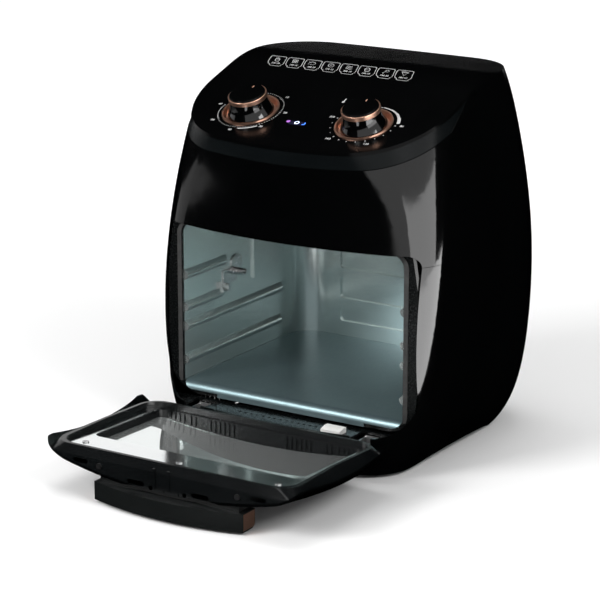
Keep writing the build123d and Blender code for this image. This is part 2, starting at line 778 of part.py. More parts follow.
def make_handle():
    """A bowed grip, hollow below, that stands off the top of the shut door."""
    bow = handle_mid_high - handle_end_high
    high_arc = ThreePointArc((-handle_half, handle_end_high), (0, handle_mid_high), (handle_half, handle_end_high))
    outline = high_arc + Polyline(
        (handle_half, handle_end_high), (handle_half, handle_low), (-handle_half, handle_low), (-handle_half, handle_end_high)
    )
    bar = extrude(Plane.XZ.offset(-handle_back) * make_face(outline.edges()), amount=handle_back - handle_front)
    bar = fillet(bar.edges().filter_by(Axis.X).group_by(Axis.Y)[0], 6.5)
    base = extrude(Plane.XZ.offset(140) * Pos(0, (handle_low + door_high) / 2 - 0.5) * Rectangle(2 * handle_half - 12, door_high - handle_low - 3), amount=-handle_back - 140 + 1)
    grip = bar + base - door_front(door_proud + 0.05)
    finger = box_between((-handle_half + 8, handle_front + handle_wall, handle_low - 5), (handle_half - 8, handle_back - 1.2, handle_end_high - 5))
    finger = fillet(finger.edges().filter_by(Axis.X).group_by(Axis.Z)[-1], 4)
    grip = grip - finger
    end_zone = box_between((handle_half - end_cap_wall, -300, 0), (200, handle_back - 1, 400))
    ends = grip & end_zone
    ends = ends & box_between((0, handle_front + end_cap_inset, handle_low + 0.6), (200, 0, handle_end_high - end_cap_inset))
    socket = Pos(0, 0, 0) * box_between(
        (handle_half - end_cap_wall - 0.05, handle_front + end_cap_inset - 0.05, handle_low + 0.55),
        (200, handle_back - 0.95, handle_end_high - end_cap_inset + 0.05),
    )
    grip = grip - socket - mirror(socket, about=Plane.YZ)
    return grip, group(mirrored(ends))


handle_grip, handle_caps = make_handle()


def make_edge_screws():
    screws = []
    for side in (-1, 1):
        shank = Pos(side * 80, -141.5, door_high - 3.9) * Cylinder(1.8, 8.2)
        head = Pos(side * 80, -141.5, door_high + 0.63) * Cylinder(3.0, 1.2)
        screws.append(shank + head)
    return group(screws)


def lowered(shape):
    """The shut door's piece turned down ninety degrees about the hinge pins."""
    return Pos(0, pin_y, pin_z) * Rot(90, 0, 0) * Pos(0, -pin_y, -pin_z) * shape


nodes["door_skin"] = lowered(skin)
nodes["door_outer_glass"] = lowered(outer_glass)
nodes["door_inner_frame"] = lowered(inner_frame)
nodes["door_inner_glass"] = lowered(inner_glass)
nodes["door_trim_plate"] = lowered(trim_plate)
nodes["door_trim_screws"] = lowered(trim_screws)
nodes["door_handle"] = lowered(handle_grip)
nodes["handle_end_caps"] = lowered(handle_caps)
nodes["door_edge_screws"] = lowered(make_edge_screws())
nodes["hinge_arms"] = lowered(group(hinge_arm_list))


# Heater, fan and motor above the cavity
def make_coil():
    """A flat spiral of rod made of half turns, each a step wider."""
    path = None
    x = coil_first
    side = 1
    centre = 0.0
    for k in range(coil_turns):
        radius = coil_first + coil_step / 2 * k
        middle = centre
        start = (middle + side * radius, 0)
        end = (middle - side * radius, 0)
        arc = ThreePointArc(start, (middle, side * radius), end)
        path = arc if path is None else path + arc
        centre = middle + side * coil_step / 2
        side = -side
    wire = Wire(path.edges())
    section = Plane(origin=wire @ 0, z_dir=wire % 0) * Circle(coil_rod)
    coil = sweep(section, path=wire)
    return Pos(0, fan_y, coil_height) * coil


nodes["heater_coil"] = make_coil()


def make_guard():
    ring = Pos(0, fan_y, guard_height) * (Cylinder(82, 2.0) - Cylinder(79.5, 4.0))
    for radius in (20, 40, 60):
        ring = ring + Pos(0, fan_y, guard_height) * (Cylinder(radius + 0.9, 1.8) - Cylinder(radius - 0.9, 4.0))
    for angle in (0, 60, 120):
        ring = ring + Pos(0, fan_y, guard_height) * Rot(0, 0, angle) * Box(162, 2.0, 1.8)
    # Four posts hang the guard from the cavity roof, and carry the coil
    for angle in (30, 90, 150, 210, 270, 330):
        post = Pos(0, fan_y, 0) * Rot(0, 0, angle) * Pos(81, 0, (guard_height + cavity_roof) / 2)
        ring = ring + post * Box(2.4, 2.4, cavity_roof - guard_height)
    return ring


nodes["heater_guard"] = make_guard()


def make_coil_clips():
    clips = []
    for angle in (0, 120, 240):
        z_low = coil_height + coil_rod + 0.05
        bar = Pos(0, fan_y, 0) * Rot(0, 0, angle) * Pos(57, 0, z_low + 0.6) * Box(50, 4, 1.2)
        hanger_height = cavity_roof - z_low
        hanger = Pos(0, fan_y, 0) * Rot(0, 0, angle) * Pos(80.5, 0, z_low + hanger_height / 2) * Box(2.2, 4, hanger_height)
        clips.append(bar + hanger)
    return group(clips)


nodes["heater_clips"] = make_coil_clips()


def make_chamber():
    z0 = cavity_roof + sheet + 0.05
    pan = Pos(0, fan_y, z0 + chamber_height / 2) * Cylinder(chamber_radius, chamber_height)
    hollow = Pos(0, fan_y, z0 + chamber_height / 2 - sheet) * Cylinder(chamber_radius - sheet, chamber_height)
    pan = pan - hollow
    flange = Pos(0, fan_y, z0 + sheet / 2) * (Cylinder(chamber_radius + 8, sheet) - Cylinder(chamber_radius - sheet, sheet * 3))
    pan = pan + flange
    pan = pan - Pos(0, fan_y, z0 + chamber_height) * Cylinder(motor_shaft_radius + 1.5, 10)
    return pan


nodes["fan_chamber"] = make_chamber()
chamber_top = cavity_roof + sheet + 0.05 + chamber_height


def blade_ring(radius, count, hub, height, twist, thickness=1.0):
    wheel = Cylinder(hub, height)
    for k in range(count):
        length = radius - hub + 1
        blade = Pos(hub - 1 + length / 2, 0, 0) * Rot(twist, 0, 0) * Box(length, thickness, height)
        wheel = wheel + Rot(0, 0, 360 / count * k) * blade
    return wheel


def make_fans():
    disc_z = cavity_roof + 6.0
    fan = Pos(0, 0, 8) * blade_ring(fan_radius, fan_blades, 12, 14, 0)
    fan = fan + Pos(0, 0, 15.6) * Cylinder(fan_radius, 1.2)
    fan = fan - Cylinder(motor_shaft_radius, 80)
    fan = Pos(0, fan_y, disc_z) * fan
    cooling_z = chamber_top + 8
    cooling = blade_ring(cooling_radius, 9, 9, 9, 28, 1.0) - Cylinder(motor_shaft_radius, 80)
    cooling = Pos(0, fan_y, cooling_z) * cooling
    low = disc_z + 1
    high = cooling_z + 9 + motor_height + 4
    shaft = Pos(0, fan_y, (low + high) / 2) * Cylinder(motor_shaft_radius, high - low)
    return fan, cooling, shaft


convection_fan, cooling_fan, motor_shaft = make_fans()
nodes["convection_fan"] = convection_fan
nodes["cooling_fan"] = cooling_fan
nodes["motor_shaft"] = motor_shaft


def make_motor():
    z0 = chamber_top + 17
    stack = Pos(0, fan_y, z0 + motor_height / 2) * Box(2 * motor_radius, 2 * motor_radius, motor_height * 0.45)
    stack = fillet(stack.edges().filter_by(Axis.Z), 6)
    can = Pos(0, fan_y, z0 + motor_height / 2) * Cylinder(motor_radius * 0.72, motor_height * 0.9)
    can = can - Pos(0, fan_y, z0 + motor_height / 2) * Cylinder(motor_radius * 0.66, motor_height * 0.2)
    bearing = Pos(0, fan_y, z0 + motor_height / 2) * Cylinder(8, motor_height)
    motor = stack + can + bearing
    motor = motor - Pos(0, fan_y, z0) * Cylinder(motor_shaft_radius + 0.05, 200)
    # Strap that stands on the fan chamber and carries the motor
    top = z0 + motor_height / 2 - motor_height * 0.225
    legs = []
    for side in (-1, 1):
        leg = box_between((side * 52 - 5, fan_y - 8, chamber_top), (side * 52 + 5, fan_y + 8, top))
        inner_cut = box_between((side * 52 - 3.6, fan_y - 9, chamber_top + 1.2), (side * 52 + 3.6, fan_y + 9, top - 1.2))
        legs.append(leg - inner_cut)
    strap = box_between((-57, fan_y - 8, top - 1.2), (57, fan_y + 8, top))
    strap = strap - Pos(0, fan_y, top) * Cylinder(motor_radius * 0.72 + 0.3, 20)
    bracket = strap + legs[0] + legs[1]
    return motor, bracket


motor, motor_bracket = make_motor()
nodes["motor"] = motor
nodes["motor_bracket"] = motor_bracket


# Spit bearing on the left wall, spit drive behind the right wall
def make_spit():
    plate_x = -cavity_half + 0.05
    disc = lying_tube(10.0, 1.4, plate_x + 0.7, spit_y, spit_z + 5)
    arm = box_between((plate_x, spit_y - 26, spit_z - 14), (plate_x + 1.4, spit_y, spit_z + 1))
    cradle = lying_tube(5.2, 12, plate_x + 6, spit_y - 2, spit_z - 2)
    cradle = cradle - lying_tube(3.6, 20, plate_x + 6, spit_y - 2, spit_z - 2)
    cradle = cradle - box_between((plate_x - 5, spit_y - 20, spit_z - 1), (plate_x + 30, spit_y + 20, spit_z + 30))
    lug = box_between((plate_x, spit_y - 26, spit_z - 20), (plate_x + 8, spit_y - 22.5, spit_z - 12))
    bracket = disc + arm + cradle + lug
    case_x = cavity_half + sheet + 0.6
    case = lying_tube(23, 15, case_x + 7.5, spit_y, spit_z)
    case = case - lying_tube(3.05, 40, case_x + 7.5, spit_y, spit_z)
    ears = box_between((case_x, spit_y - 32, spit_z - 5), (case_x + 1.2, spit_y + 32, spit_z + 5))
    ears = ears - lying_tube(3.05, 40, case_x, spit_y, spit_z)
    drive = case + ears
    for side in (-1, 1):
        drive = drive - lying_tube(1.8, 20, case_x, spit_y + side * 28, spit_z)
    socket = lying_tube(socket_radius, 12, cavity_half - 5, spit_y, spit_z)
    stem = lying_tube(3.0, 14, cavity_half + 8, spit_y, spit_z)
    socket = socket + stem
    bore = Pos(cavity_half - 9, spit_y, spit_z) * Box(12, 6.4, 6.4)
    socket = socket - bore
    return bracket, drive, socket


rotisserie_bracket, rotisserie_motor, rotisserie_socket = make_spit()
nodes["rotisserie_bracket"] = rotisserie_bracket
nodes["rotisserie_motor"] = rotisserie_motor
nodes["rotisserie_socket"] = rotisserie_socket


# Door switch below the ledge: a white button, its spring and the switch case
def make_switch():
    button = box_between((54, button_front, 33), (76, button_back, 48.5))
    slope_cut = Pos(65, button_front, 48.5) * Rot(16, 0, 0) * Box(40, 16, 4)
    button = button - slope_cut
    stop = box_between((50, button_front + 0.5, 35.5), (80, button_back - 0.5, 38.5))
    button = button + stop
    case = box_between((50, -146, 12), (80, -136, 27))
    case = case - Pos(65, spring_y, 27) * Cylinder(3.2, 8)
    post = box_between((50, -146, 9.05), (54, -136, 12)) + box_between((76, -146, 9.05), (80, -136, 12))
    guide = box_between((50, -136, 12), (80, -134.4, 40.9))
    spring_low = 23.2
    spring_high = 32.9
    spring = Helix(2.4, spring_high - spring_low - 1.2, 2.2)
    wire = Wire(spring.edges())
    section = Plane(origin=wire @ 0, z_dir=wire % 0) * Circle(0.4)
    coil = Pos(65, spring_y, spring_low + 0.6) * sweep(section, path=wire)
    return button, case + post + guide, coil


switch_button, door_switch, switch_spring = make_switch()
nodes["switch_button"] = switch_button
nodes["door_switch"] = door_switch
nodes["switch_spring"] = switch_spring


# Small parts
def make_gland():
    gland = across(7.3, gland_x, gland_wall, gland_z, 4.0, 1.0)
    gland = gland + across(10, gland_x, gland_wall + 0.45, gland_z, 0, 1.8)
    gland = gland + across(10, gland_x, gland_wall - shell_wall - 0.5, gland_z, 1.8, 0)
    return gland - across(3.6, gland_x, gland_wall, gland_z, 30, 30)


nodes["cord_gland"] = make_gland()


def make_probe():
    rod = Pos(60, cavity_rear - 6, 222) * Rot(0, 90, 0) * Cylinder(2.2, 60)
    clips = [
        box_between((x - 3, cavity_rear - 8.6, 219.5), (x + 3, cavity_rear - 0.05, 224.5)) for x in (42, 78)
    ]
    for clip in clips:
        rod = rod + clip
    return rod


nodes["thermostat_probe"] = make_probe()


def make_fuse():
    x = 60
    saddle = box_between((x - 9, fan_y - 5, chamber_top + 0.02), (x + 9, fan_y + 5 - 1, chamber_top + 1.2))
    return Pos(0, 40, 0) * (saddle + lying_tube(2.6, 16, x, fan_y, chamber_top + 3.4))


nodes["thermal_fuse"] = make_fuse()


def make_cover_screws():
    screws = []
    for z, y in cover_screw_rows:
        for x in (-cover_screw_x, cover_screw_x):
            head = across(3.4, x, y - 0.85, z, 0, 1.5)
            shank = across(1.55, x, y - 0.85, z, 11, 0.2)
            cross = Pos(x, y + 0.5, z)
            screws.append(head + shank - cross * Box(4.2, 0.9, 0.9) - cross * Box(0.9, 0.9, 4.2))
    return group(screws)


nodes["cover_screws"] = make_cover_screws()

# The finished oven stands with its origin under the middle of its footprint
boxes = [node.bounding_box() for node in nodes.values()]
front_reach = min(box.min.Y for box in boxes)
rear_reach = max(box.max.Y for box in boxes)
origin_shift = -(front_reach + rear_reach) / 2
for name in nodes:
    export_step(Pos(0, origin_shift, 0) * nodes[name], "parts/" + name + ".step")
print(len(nodes), "nodes; origin shift", round(origin_shift, 3))
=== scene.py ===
import math

import bpy
from mathutils import Matrix, Vector


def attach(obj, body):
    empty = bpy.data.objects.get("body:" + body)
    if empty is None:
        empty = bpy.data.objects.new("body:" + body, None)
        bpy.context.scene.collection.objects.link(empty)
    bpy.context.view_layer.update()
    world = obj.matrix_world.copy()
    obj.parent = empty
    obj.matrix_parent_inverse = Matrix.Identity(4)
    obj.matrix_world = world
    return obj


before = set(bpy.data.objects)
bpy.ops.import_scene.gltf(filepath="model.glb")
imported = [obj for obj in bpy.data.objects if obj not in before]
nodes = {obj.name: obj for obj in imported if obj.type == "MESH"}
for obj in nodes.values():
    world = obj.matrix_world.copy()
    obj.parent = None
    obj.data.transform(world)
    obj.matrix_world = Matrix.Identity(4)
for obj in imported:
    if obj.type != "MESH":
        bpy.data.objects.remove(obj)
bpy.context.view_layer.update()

# Camera
# It stands to the right of the door and a little above it, with a long lens. The
# body's own centre lies behind the frame's origin, and the camera aims near it.
body_centre_y = 0.099875
picture_px = 600
focal_px = 2525.2
sensor_mm = 36
turn = math.radians(32.46)
tilt = math.radians(15.7)
distance = 2.6718
target = Vector((-0.0658, body_centre_y, 0.12565))
toward = Vector((math.sin(turn) * math.cos(tilt), -math.cos(turn) * math.cos(tilt), math.sin(tilt)))
rightward = Vector((math.cos(turn), math.sin(turn), 0))
stand = Matrix.Translation(target + toward * distance)
facing = Matrix((rightward, toward.cross(rightward), toward)).transposed().to_4x4()
bpy.ops.object.camera_add()
camera = bpy.context.object
camera.name = "camera"
camera.matrix_world = stand @ facing
camera.data.sensor_width = sensor_mm
camera.data.lens = focal_px / picture_px * sensor_mm
camera.data.clip_end = 50
bpy.context.scene.camera = camera
bpy.context.scene.view_settings.view_transform = "Standard"


# Floor
# A wide sheet of white paper. It takes the soft shadow, and to the camera it glows
# a little away from the oven, so that it goes over into the white background.
def start(name, colour, rough, metal=0.0):
    """A new material, with what is the same all over it set on the shader."""
    m = bpy.data.materials.new(name)
    m.use_nodes = True
    shader = m.node_tree.nodes["Principled BSDF"]
    shader.inputs["Base Color"].default_value = (*colour, 1)
    shader.inputs["Roughness"].default_value = rough
    shader.inputs["Metallic"].default_value = metal
    return m


def set_on(m, **values):
    """Sets more sockets of a material's shader, named with low lines for spaces."""
    shader = m.node_tree.nodes["Principled BSDF"]
    for socket, value in values.items():
        shader.inputs[socket.replace("_", " ")].default_value = value


def grain(m, scale, stretch=(1, 1, 1), detail=3.0):
    """Noise in the object's own coordinates, drawn out along its axes."""
    tree = m.node_tree
    place = tree.nodes.new("ShaderNodeTexCoord")
    mapping = tree.nodes.new("ShaderNodeMapping")
    mapping.inputs["Scale"].default_value = stretch
    noise = tree.nodes.new("ShaderNodeTexNoise")
    noise.inputs["Scale"].default_value = scale
    noise.inputs["Detail"].default_value = detail
    tree.links.new(place.outputs["Object"], mapping.inputs["Vector"])
    tree.links.new(mapping.outputs["Vector"], noise.inputs["Vector"])
    return noise.outputs["Fac"]


noise_low = 0.3
noise_high = 0.7


def spread(m, value, low, high):
    """Drives the roughness between two values with a pattern."""
    tree = m.node_tree
    ranged = tree.nodes.new("ShaderNodeMapRange")
    ranged.inputs["From Min"].default_value = noise_low
    ranged.inputs["From Max"].default_value = noise_high
    ranged.inputs["To Min"].default_value = low
    ranged.inputs["To Max"].default_value = high
    tree.links.new(value, ranged.inputs["Value"])
    tree.links.new(ranged.outputs["Result"], tree.nodes["Principled BSDF"].inputs["Roughness"])


def tint(m, value, first, second):
    """Blends the colour between two tones with a pattern."""
    tree = m.node_tree
    ramp = tree.nodes.new("ShaderNodeValToRGB")
    ramp.color_ramp.elements[0].position = noise_low
    ramp.color_ramp.elements[1].position = noise_high
    ramp.color_ramp.elements[0].color = (*first, 1)
    ramp.color_ramp.elements[1].color = (*second, 1)
    tree.links.new(value, ramp.inputs["Fac"])
    tree.links.new(ramp.outputs["Color"], tree.nodes["Principled BSDF"].inputs["Base Color"])


def dress(m, *names):
    """Puts a material on nodes of the frame."""
    for name in names:
        for slot in nodes[name].material_slots:
            slot.material = m


bpy.ops.mesh.primitive_plane_add(size=16, location=(0, 0, 0))
floor = bpy.context.object
floor.name = "floor"
paper = start("floor_paper", (0.82, 0.82, 0.82), 0.9)
spread(paper, grain(paper, 6), 0.86, 0.94)
glow_starts_at = 0.35
glow_full_at = 1.5
full_glow = 0.55
tree = paper.node_tree
rays = tree.nodes.new("ShaderNodeLightPath")
place = tree.nodes.new("ShaderNodeTexCoord")
reach = tree.nodes.new("ShaderNodeVectorMath")
reach.operation = "LENGTH"
away = tree.nodes.new("ShaderNodeMapRange")
away.interpolation_type = "SMOOTHSTEP"
away.inputs["From Min"].default_value = glow_starts_at
away.inputs["From Max"].default_value = glow_full_at
away.inputs["To Min"].default_value = 0.0
away.inputs["To Max"].default_value = full_glow
glow = tree.nodes.new("ShaderNodeMath")
glow.operation = "MULTIPLY"
tree.links.new(place.outputs["Object"], reach.inputs[0])
tree.links.new(reach.outputs["Value"], away.inputs["Value"])
tree.links.new(away.outputs["Result"], glow.inputs[1])
tree.links.new(rays.outputs["Is Camera Ray"], glow.inputs[0])
set_on(paper, Specular_IOR_Level=0.0, Emission_Color=(1, 1, 1, 1))
tree.links.new(glow.outputs[0], tree.nodes["Principled BSDF"].inputs["Emission Strength"])
floor.data.materials.append(paper)

# Studio
# A white room all round for the camera and for what gloss, metal and glass show,
# softer for the light it gives.
room_light = 0.5
world = bpy.data.worlds.new("studio")
bpy.context.scene.world = world
world.use_nodes = True
tree = world.node_tree
rays = tree.nodes.new("ShaderNodeLightPath")
seen = tree.nodes.new("ShaderNodeMath")
seen.operation = "MAXIMUM"
shown = tree.nodes.new("ShaderNodeMath")
shown.operation = "MAXIMUM"
level = tree.nodes.new("ShaderNodeMapRange")
level.inputs["To Min"].default_value = room_light
level.inputs["To Max"].default_value = 1.0
tree.links.new(rays.outputs["Is Camera Ray"], seen.inputs[0])
tree.links.new(rays.outputs["Is Glossy Ray"], seen.inputs[1])
tree.links.new(seen.outputs[0], shown.inputs[0])
tree.links.new(rays.outputs["Is Transmission Ray"], shown.inputs[1])
tree.links.new(shown.outputs[0], level.inputs["Value"])
tree.links.new(level.outputs["Result"], tree.nodes["Background"].inputs["Strength"])
tree.nodes["Background"].inputs["Color"].default_value = (1, 1, 1, 1)

# Cards
# Black cards keep the gloss dark, and four bright ones draw the highlights down the
# front corners and inside the steel cavity. Only reflections see them.
for name, place, size, turned, brightness in (
    ("floor_card", (0, 0.4, 0.0008), (12, 12), (0, 0, 0), 0.0),
    ("ceiling_card", (0, 0.4, 2.4), (6, 6), (0, 0, 0), 0.0),
    ("back_right_card", (1.25, 1.45, 0.9), (2.4, 2.4), (90, 0, -33), 0.0),
    ("back_left_card", (-0.5, 0.66, 1.25), (2.4, 1.6), (90, 0, 33), 0.0),
    ("left_card", (-1.58, -0.34, 0.0012), (1.6, 0.95), (0, 0, 0), 0.55),
    ("front_left_card", (-1.0, -1.6, 0.55), (2.0, 0.95), (90, 0, -30), 0.0),
    ("glow_card", (1.61, -0.02, 0.0012), (1.85, 1.85), (0, 0, 45), 7.0),
    ("glow_wall", (2.3, -0.1, 0.3), (3.4, 0.6), (90, 0, 90), 4.0),
    ("front_glow", (0.08, -0.62, 0.0012), (0.16, 0.4), (0, 0, 0), 4.5),
):
    bpy.ops.mesh.primitive_plane_add(size=1, location=place, rotation=[math.radians(a) for a in turned])
    card = bpy.context.object
    card.name = name
    card.scale = (*size, 1)
    face = bpy.data.materials.new(name)
    face.use_nodes = True
    face.node_tree.nodes.clear()
    light = face.node_tree.nodes.new("ShaderNodeEmission")
    light.inputs["Strength"].default_value = brightness
    out = face.node_tree.nodes.new("ShaderNodeOutputMaterial")
    face.node_tree.links.new(light.outputs[0], out.inputs["Surface"])
    card.data.materials.append(face)
    card.visible_camera = False
    card.visible_diffuse = False
    card.visible_transmission = False
    card.visible_shadow = False

# Lamps
# Three soft boxes, all aimed at the middle of the oven: one in front on the left, one
# on the right and one over the top.
aim = Vector((0, -0.05, 0.15))
for name, place, size, power in (
    ("front_box", (-0.9, -1.7, 1.3), 0.9, 38),
    ("right_box", (1.7, -0.6, 1.5), 0.8, 22),
    ("top_box", (-0.2, 0.3, 2.1), 1.2, 16),
):
    bpy.ops.object.light_add(type="AREA", location=place)
    lamp = bpy.context.object
    lamp.name = name
    lamp.data.size = size
    lamp.data.energy = power
    lamp.rotation_euler = (aim - Vector(place)).to_track_quat("-Z", "Y").to_euler()

# Housing shells
# Two deep shells of gloss black plastic, injection moulded, that meet at a seam round
# the body. Polished steel tools leave a faint waviness and a little haze.
relief_depth = 0.0002


def relief(m, value, strength):
    """Turns a pattern into fine bumps."""
    tree = m.node_tree
    bump = tree.nodes.new("ShaderNodeBump")
    bump.inputs["Strength"].default_value = strength
    bump.inputs["Distance"].default_value = relief_depth
    tree.links.new(value, bump.inputs["Height"])
    tree.links.new(bump.outputs["Normal"], tree.nodes["Principled BSDF"].inputs["Normal"])


gloss_black = start("gloss_black", (0.0007, 0.0008, 0.0009), 0.08)
tint(gloss_black, grain(gloss_black, 5), (0.0006, 0.0007, 0.0008), (0.001, 0.0011, 0.0012))
spread(gloss_black, grain(gloss_black, 30), 0.06, 0.1)
relief(gloss_black, grain(gloss_black, 60, detail=1), 0.008)
dress(gloss_black, "upper_housing", "lower_housing")

# Base plate, rear cover and cooling fan
# The same plastic from a spark-eroded tool, with a fine dull grain. The plate and the
# cover are fixed from below and from behind, and the fan sits on the motor's shaft.
grained_black = start("grained_black", (0.014, 0.014, 0.015), 0.55)
tint(grained_black, grain(grained_black, 60), (0.011, 0.011, 0.012), (0.017, 0.017, 0.018))
spread(grained_black, grain(grained_black, 900), 0.45, 0.65)
relief(grained_black, grain(grained_black, 1500, detail=2), 0.5)
dress(grained_black, "rear_cover", "base_plate", "cooling_fan")

# Feet, cord gland and door gasket
# Moulded rubber and silicone, dull and a little dusty. The feet carry the base, the
# gland guards the cord's hole in the rear cover, and the gasket seals the shut door.
rubber = start("soft_rubber", (0.02, 0.02, 0.02), 0.7)
tint(rubber, grain(rubber, 120), (0.016, 0.016, 0.016), (0.03, 0.03, 0.029))
spread(rubber, grain(rubber, 400), 0.6, 0.85)
relief(rubber, grain(rubber, 900), 0.3)
dress(rubber, "feet", "cord_gland", "door_gasket")

# Cavity liner and floor
# Pressed from bright rolled sheet steel. The rolling lines run across the walls and
# from front to back on the floor, with faint cloudy wear.
# The walls' steel has its tone raised as painted light, and the floor's far darker tone is painted shade:
# one steel in a lit and a shaded copy.
for name, stretch, colour, haze, part in (
    ("rolled_steel_walls_painted_light", (1, 1, 9), (0.66, 0.73, 0.72), 0.19, "cavity_liner"),
    ("rolled_steel_floor_painted_shade", (9, 1, 9), (0.2, 0.28, 0.3), 0.36, "cavity_floor"),
):
    steel = start(name, colour, 0.3, metal=0.85)
    lines = grain(steel, 140, stretch, detail=4)
    tint(steel, grain(steel, 9, detail=4), [0.9 * c for c in colour], [1.08 * c for c in colour])
    spread(steel, lines, haze, haze + 0.07)
    relief(steel, lines, 0.012)
    dress(steel, part)

# Bezel
# A satin black moulded frame that closes the slot between the housing's opening and
# the steel cavity.
satin_black = start("satin_black", (0.002, 0.0026, 0.0027), 0.26)
spread(satin_black, grain(satin_black, 500), 0.22, 0.3)
relief(satin_black, grain(satin_black, 1200), 0.12)
dress(satin_black, "door_bezel")

# Zinc-plated metalwork
# Hinges, clips, shafts, cover screws, the spit's socket, the fan and its chamber. They
# are pressed or turned from steel and plated, which leaves a dull skin.
plated = start("zinc_plated", (0.5, 0.5, 0.5), 0.38, metal=1.0)
tint(plated, grain(plated, 70, detail=5), (0.42, 0.42, 0.43), (0.56, 0.56, 0.55))
spread(plated, grain(plated, 250), 0.3, 0.5)
relief(plated, grain(plated, 500), 0.08)
dress(
    plated, "hinge_brackets", "hinge_pins", "hinge_arms", "heater_clips", "fan_chamber", "convection_fan",
    "motor_bracket", "motor_shaft", "timer_shaft", "temperature_shaft", "rotisserie_socket",
    "cover_screws",
)

# Bright metalwork
# Polished wire and turned steel: the guard under the heater, the spit's cradle, the
# switch's spring, the fuse's case and the screws of the door's trim.
bright = start("bright_steel", (0.62, 0.62, 0.62), 0.18, metal=1.0)
spread(bright, grain(bright, 300), 0.14, 0.28)
relief(bright, grain(bright, 600), 0.04)
dress(bright, "heater_guard", "rotisserie_bracket", "switch_spring", "thermal_fuse", "door_trim_screws")

# Heater coil
# A steel tube bent into a flat spiral and hung by its clips under the cavity's roof. It
# has gone brown and grey with heat.
tube = start("heater_tube", (0.2, 0.18, 0.16), 0.45, metal=0.9)
tint(tube, grain(tube, 45, detail=5), (0.13, 0.1, 0.08), (0.3, 0.28, 0.27))
spread(tube, grain(tube, 200), 0.35, 0.6)
dress(tube, "heater_coil")

# Motors
# Lacquered steel cans and stacks: the fan's motor above the cavity, and the spit's
# small one behind the right wall.
lacquer = start("motor_lacquer", (0.3, 0.3, 0.31), 0.4, metal=0.6)
tint(lacquer, grain(lacquer, 50), (0.24, 0.24, 0.25), (0.36, 0.36, 0.37))
spread(lacquer, grain(lacquer, 400), 0.32, 0.5)
dress(lacquer, "motor", "rotisserie_motor")

# Timer and thermostat
# Folded steel cases with a yellow passivated skin. Each hangs below the deck by its
# threaded neck, under its knob.
passivated = start("passivated_case", (0.5, 0.46, 0.34), 0.35, metal=0.9)
tint(passivated, grain(passivated, 60), (0.44, 0.4, 0.3), (0.56, 0.51, 0.38))
spread(passivated, grain(passivated, 300), 0.28, 0.45)
dress(passivated, "timer_mechanism", "thermostat")

# Lamp board
# A small green circuit board behind the window in the deck. It carries the lamps of
# the three signs.
board = start("circuit_board", (0.03, 0.16, 0.07), 0.4)
tint(board, grain(board, 300), (0.02, 0.12, 0.05), (0.04, 0.2, 0.09))
dress(board, "indicator_board")

# Door switch and its button
# White nylon, slightly cloudy. The button stands out of the sill, and the shut door
# pushes it in.
nylon = start("white_nylon", (0.72, 0.72, 0.7), 0.42)
tint(nylon, grain(nylon, 90), (0.66, 0.66, 0.64), (0.78, 0.78, 0.76))
spread(nylon, grain(nylon, 500), 0.36, 0.5)
dress(nylon, "door_switch", "switch_button")

# Deck
# A satin black moulded lid on the upper housing, which carries the controls. Its skin
# reflects less than the shells do.
deck_black = start("deck_black", (0.0008, 0.0009, 0.001), 0.12)
set_on(deck_black, Specular_IOR_Level=0.12)
tint(deck_black, grain(deck_black, 8), (0.0007, 0.0008, 0.0009), (0.0011, 0.0012, 0.0013))
spread(deck_black, grain(deck_black, 40), 0.13, 0.16)
dress(deck_black, "control_panel")

# Visor band
# A dark grey matt band under the deck's front edge, moulded in its own colour with a
# fine grain.
visor = start("visor_grey", (0.002, 0.003, 0.0033), 0.22)
set_on(visor, Specular_IOR_Level=0.15)
tint(visor, grain(visor, 20), (0.0016, 0.0024, 0.0027), (0.0025, 0.0036, 0.004))
spread(visor, grain(visor, 800), 0.18, 0.26)
relief(visor, grain(visor, 1500), 0.2)
dress(visor, "visor_band")

# Copper trim
# Turned aluminium with a copper-coloured anodised skin: the rings in the deck, the
# collars of the knobs and the plates on the handle's ends. The probe is real copper.
copper = start("copper_anodised", (0.72, 0.42, 0.3), 0.3, metal=1.0)
turned_lines = grain(copper, 200, (1, 1, 8), detail=4)
tint(copper, grain(copper, 60), (0.66, 0.37, 0.26), (0.76, 0.45, 0.33))
spread(copper, turned_lines, 0.28, 0.34)
dress(
    copper, "timer_dial_ring", "temperature_dial_ring", "timer_knob_collar", "temperature_knob_collar",
    "handle_end_caps", "thermostat_probe",
)

# Knobs
# A flared skirt in gloss black and a flat cap in satin black, pressed together round
# the copper collar and pushed on the shaft.
dress(gloss_black, "timer_knob_skirt", "temperature_knob_skirt")
dress(deck_black, "timer_knob_cap", "temperature_knob_cap")

# Timer scale
# White ink, screen printed on the deck's slope after moulding: a tick for each minute,
# plain numbers, two arcs and a small clock.
ink = start("white_ink", (0.62, 0.62, 0.62), 0.5)
tint(ink, grain(ink, 400), (0.55, 0.55, 0.55), (0.7, 0.7, 0.7))
ink_height = 0.00008
slope = math.radians(20)
deck_front_y = -0.147
deck_front_z = 0.3255
knob_row_y = -0.0914
knob_row_z = deck_front_z + math.tan(slope) * (knob_row_y - deck_front_y)
on_deck = Matrix.Translation((0, knob_row_y + body_centre_y, knob_row_z)) @ Matrix.Rotation(slope, 4, "X")
dial_x = 0.0663


def deselect():
    """Leaves edit mode and selects nothing."""
    if bpy.context.object and bpy.context.object.mode == "EDIT":
        bpy.ops.object.mode_set(mode="OBJECT")
    bpy.ops.object.select_all(action="DESELECT")


def stroke(points, width, closed=False):
    """A flat line of ink through points on the deck."""
    line = bpy.data.curves.new("stroke", "CURVE")
    line.dimensions = "3D"
    run = line.splines.new("POLY")
    run.points.add(len(points) - 1)
    for k, (x, y) in enumerate(points):
        run.points[k].co = (x, y, 0, 1)
    run.use_cyclic_u = closed
    line.bevel_depth = width / 2
    line.bevel_resolution = 0
    line.use_fill_caps = True
    piece = bpy.data.objects.new("stroke", line)
    bpy.context.collection.objects.link(piece)
    return piece


